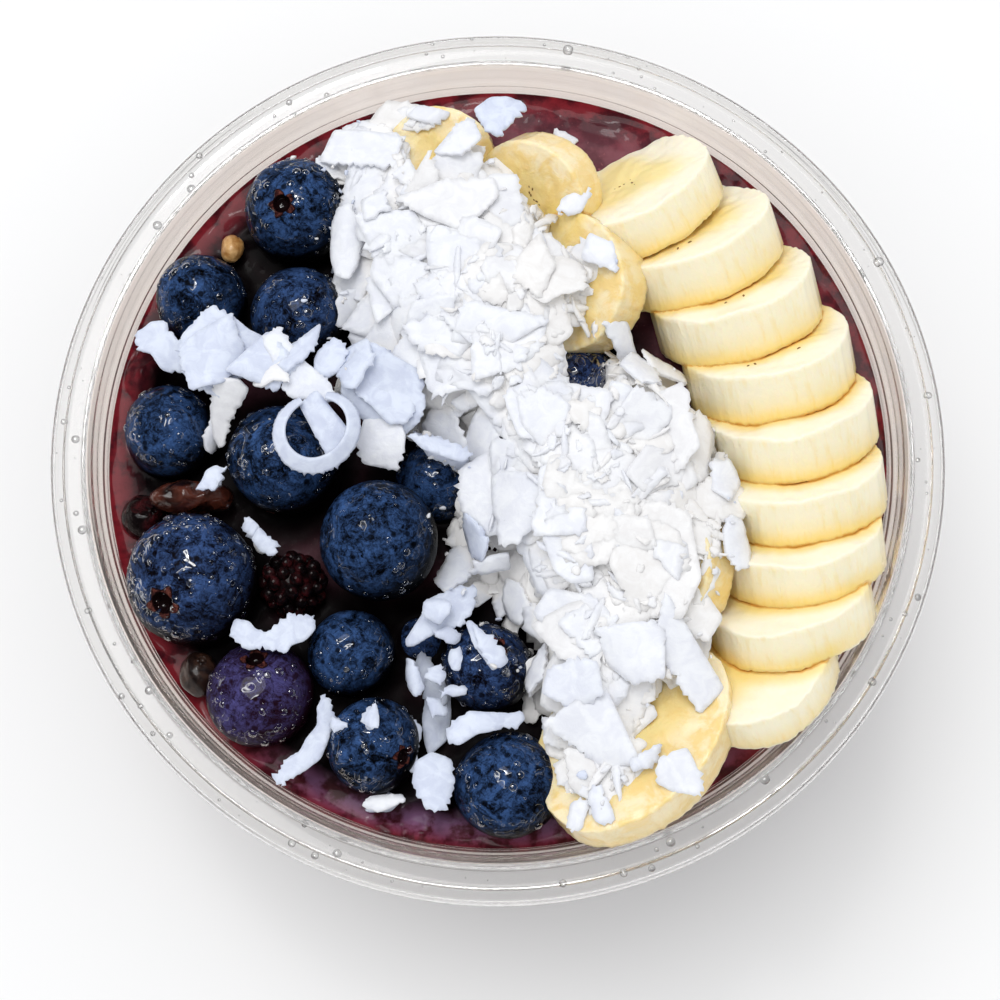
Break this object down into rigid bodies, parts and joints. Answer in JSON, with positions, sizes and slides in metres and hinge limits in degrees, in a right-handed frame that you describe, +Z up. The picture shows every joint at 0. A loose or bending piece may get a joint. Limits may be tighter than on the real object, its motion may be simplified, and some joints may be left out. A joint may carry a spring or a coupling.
{
  "type": "acai bowl",
  "caption": "Clear plastic bowl of dark fruit puree topped with blueberries, a leaning fan of banana slices and a heap of coconut flakes.",
  "frame": {"origin": "middle of the bowl's flat base, on the surface that it stands on", "axes": "+Z up through the bowl's mouth; +X towards the fan of banana slices; the blueberries lie on the -X side"},
  "size_m": [0.127, 0.127, 0.0661],
  "materials": {
    "clear_plastic": "clear, smooth and glossy",
    "puree": "wet maroon puree",
    "blueberry_skin": "navy skin with pale bloom and small drops",
    "banana_flesh": "moist cream-yellow flesh",
    "coconut": "white, faintly translucent shavings",
    "dark_fruit": "wet dark red and brown fruit",
    "nut": "toasted brown"
  },
  "bodies": {
    "root": {"acai_puree": "puree", "banana_fan_1": "banana_flesh", "banana_fan_2": "banana_flesh", "banana_fan_3": "banana_flesh", "banana_fan_4": "banana_flesh", "banana_fan_5": "banana_flesh", "banana_fan_6": "banana_flesh", "banana_fan_7": "banana_flesh", "banana_fan_8": "banana_flesh", "banana_fan_9": "banana_flesh", "banana_inner_1": "banana_flesh", "banana_inner_2": "banana_flesh", "banana_inner_3": "banana_flesh", "banana_inner_4": "banana_flesh", "banana_inner_5": "banana_flesh", "blueberry_01": "blueberry_skin", "blueberry_02": "blueberry_skin", "blueberry_03": "blueberry_skin", "blueberry_04": "blueberry_skin", "blueberry_05": "blueberry_skin", "blueberry_06": "blueberry_skin", "blueberry_07": "blueberry_skin", "blueberry_08": "blueberry_skin", "blueberry_09": "blueberry_skin", "blueberry_10": "blueberry_skin", "blueberry_11": "blueberry_skin", "blueberry_12": "blueberry_skin", "blueberry_13": "blueberry_skin", "blueberry_14": "blueberry_skin", "blueberry_15": "blueberry_skin", "bowl": "clear_plastic", "coconut_heap": "coconut", "dark_fruit_round": "dark_fruit", "drupelet_fruit": "dark_fruit", "flake_arm_corner": "coconut", "flake_arm_end": "coconut", "flake_arm_flat": "coconut", "flake_bent_strip": "coconut", "flake_butterfly": "coconut", "flake_curl": "coconut", "flake_middle_left": "coconut", "flake_middle_small": "coconut", "flake_north": "coconut", "flake_south_chunk": "coconut", "flake_south_cross": "coconut", "flake_south_tall": "coconut", "flake_strip_in_curl": "coconut", "nut_piece": "nut", "raisin": "dark_fruit", "small_brown_fruit": "dark_fruit"}
  },
  "joints": []
}
